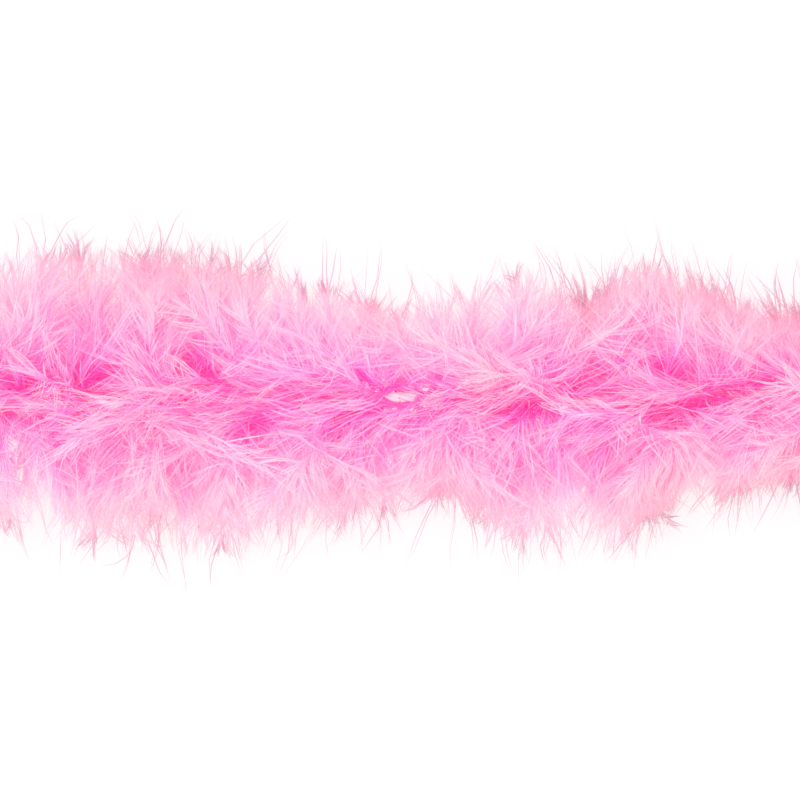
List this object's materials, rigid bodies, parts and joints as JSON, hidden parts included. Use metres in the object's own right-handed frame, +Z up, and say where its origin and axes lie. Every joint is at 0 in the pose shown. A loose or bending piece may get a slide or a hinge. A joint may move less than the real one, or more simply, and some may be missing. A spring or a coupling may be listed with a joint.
{
  "type": "feather boa",
  "caption": "Long soft scarf of downy plumes stitched all round a cord, worn draped over the neck; it bends along its whole length and its two ends are knotted.",
  "frame": {"origin": "on the surface the boa lies on, under the middle of its loop", "axes": "+X along the straight front run to the right, +Y towards the back run with the two ends, +Z up"},
  "size_m": [0.9202, 0.419, 0.102],
  "materials": {
    "plume": "dyed down, deep pink at the quills and pale at the tips",
    "cord": "matt twisted cotton",
    "thread": "fine spun thread"
  },
  "bodies": {
    "middle": {"core_cord_middle": "cord", "stitch_thread_middle": "thread", "plume_tuft_middle_a": "plume", "plume_tuft_middle_b": "plume", "plume_tuft_middle_c": "plume"},
    "left_1": {"core_cord_left_1": "cord", "stitch_thread_left_1": "thread", "plume_tuft_left_1_a": "plume", "plume_tuft_left_1_b": "plume", "plume_tuft_left_1_c": "plume"},
    "left_2": {"core_cord_left_2": "cord", "stitch_thread_left_2": "thread", "plume_tuft_left_2_a": "plume", "plume_tuft_left_2_b": "plume", "plume_tuft_left_2_c": "plume"},
    "left_3": {"core_cord_left_3": "cord", "stitch_thread_left_3": "thread", "plume_tuft_left_3_a": "plume", "plume_tuft_left_3_b": "plume", "plume_tuft_left_3_c": "plume"},
    "left_4": {"core_cord_left_4": "cord", "stitch_thread_left_4": "thread", "plume_tuft_left_4_a": "plume", "plume_tuft_left_4_b": "plume", "plume_tuft_left_4_c": "plume"},
    "left_5": {"core_cord_left_5": "cord", "stitch_thread_left_5": "thread", "plume_tuft_left_5_a": "plume", "plume_tuft_left_5_b": "plume", "plume_tuft_left_5_c": "plume", "end_whipping_left": "thread", "end_knot_left": "cord"},
    "right_1": {"core_cord_right_1": "cord", "stitch_thread_right_1": "thread", "plume_tuft_right_1_a": "plume", "plume_tuft_right_1_b": "plume", "plume_tuft_right_1_c": "plume"},
    "right_2": {"core_cord_right_2": "cord", "stitch_thread_right_2": "thread", "plume_tuft_right_2_a": "plume", "plume_tuft_right_2_b": "plume", "plume_tuft_right_2_c": "plume"},
    "right_3": {"core_cord_right_3": "cord", "stitch_thread_right_3": "thread", "plume_tuft_right_3_a": "plume", "plume_tuft_right_3_b": "plume", "plume_tuft_right_3_c": "plume"},
    "right_4": {"core_cord_right_4": "cord", "stitch_thread_right_4": "thread", "plume_tuft_right_4_a": "plume", "plume_tuft_right_4_b": "plume", "plume_tuft_right_4_c": "plume"},
    "right_5": {"core_cord_right_5": "cord", "stitch_thread_right_5": "thread", "plume_tuft_right_5_a": "plume", "plume_tuft_right_5_b": "plume", "plume_tuft_right_5_c": "plume", "end_whipping_right": "thread", "end_knot_right": "cord"}
  },
  "joints": [
    {"name": "left_lift_1", "type": "hinge", "parent": "middle", "child": "left_1", "pos_m": [-0.08, -0.155, 0.0475], "axis": [0, 1, 0], "range_deg": [0, 45]},
    {"name": "left_curl_2", "type": "hinge", "parent": "left_1", "child": "left_2", "pos_m": [-0.24, -0.155, 0.0475], "axis": [0, 0, 1], "range_deg": [-15, 45]},
    {"name": "left_lift_3", "type": "hinge", "parent": "left_2", "child": "left_3", "pos_m": [-0.37766, -0.08791, 0.0475], "axis": [0.8236, 0.5672, 0], "range_deg": [0, 45]},
    {"name": "left_curl_4", "type": "hinge", "parent": "left_3", "child": "left_4", "pos_m": [-0.39094, 0.0645, 0.0475], "axis": [0, 0, 1], "range_deg": [-15, 45]},
    {"name": "left_lift_5", "type": "hinge", "parent": "left_4", "child": "left_5", "pos_m": [-0.26691, 0.15407, 0.0475], "axis": [0.1091, -0.994, 0], "range_deg": [0, 45]},
    {"name": "right_lift_1", "type": "hinge", "parent": "middle", "child": "right_1", "pos_m": [0.08, -0.155, 0.0475], "axis": [0, -1, 0], "range_deg": [0, 45]},
    {"name": "right_curl_2", "type": "hinge", "parent": "right_1", "child": "right_2", "pos_m": [0.24, -0.155, 0.0475], "axis": [0, 0, 1], "range_deg": [-45, 15]},
    {"name": "right_lift_3", "type": "hinge", "parent": "right_2", "child": "right_3", "pos_m": [0.37766, -0.08791, 0.0475], "axis": [0.8236, -0.5672, 0], "range_deg": [0, 45]},
    {"name": "right_curl_4", "type": "hinge", "parent": "right_3", "child": "right_4", "pos_m": [0.39094, 0.0645, 0.0475], "axis": [0, 0, 1], "range_deg": [-45, 15]},
    {"name": "right_lift_5", "type": "hinge", "parent": "right_4", "child": "right_5", "pos_m": [0.26691, 0.15407, 0.0475], "axis": [0.1091, 0.994, 0], "range_deg": [0, 45]}
  ]
}
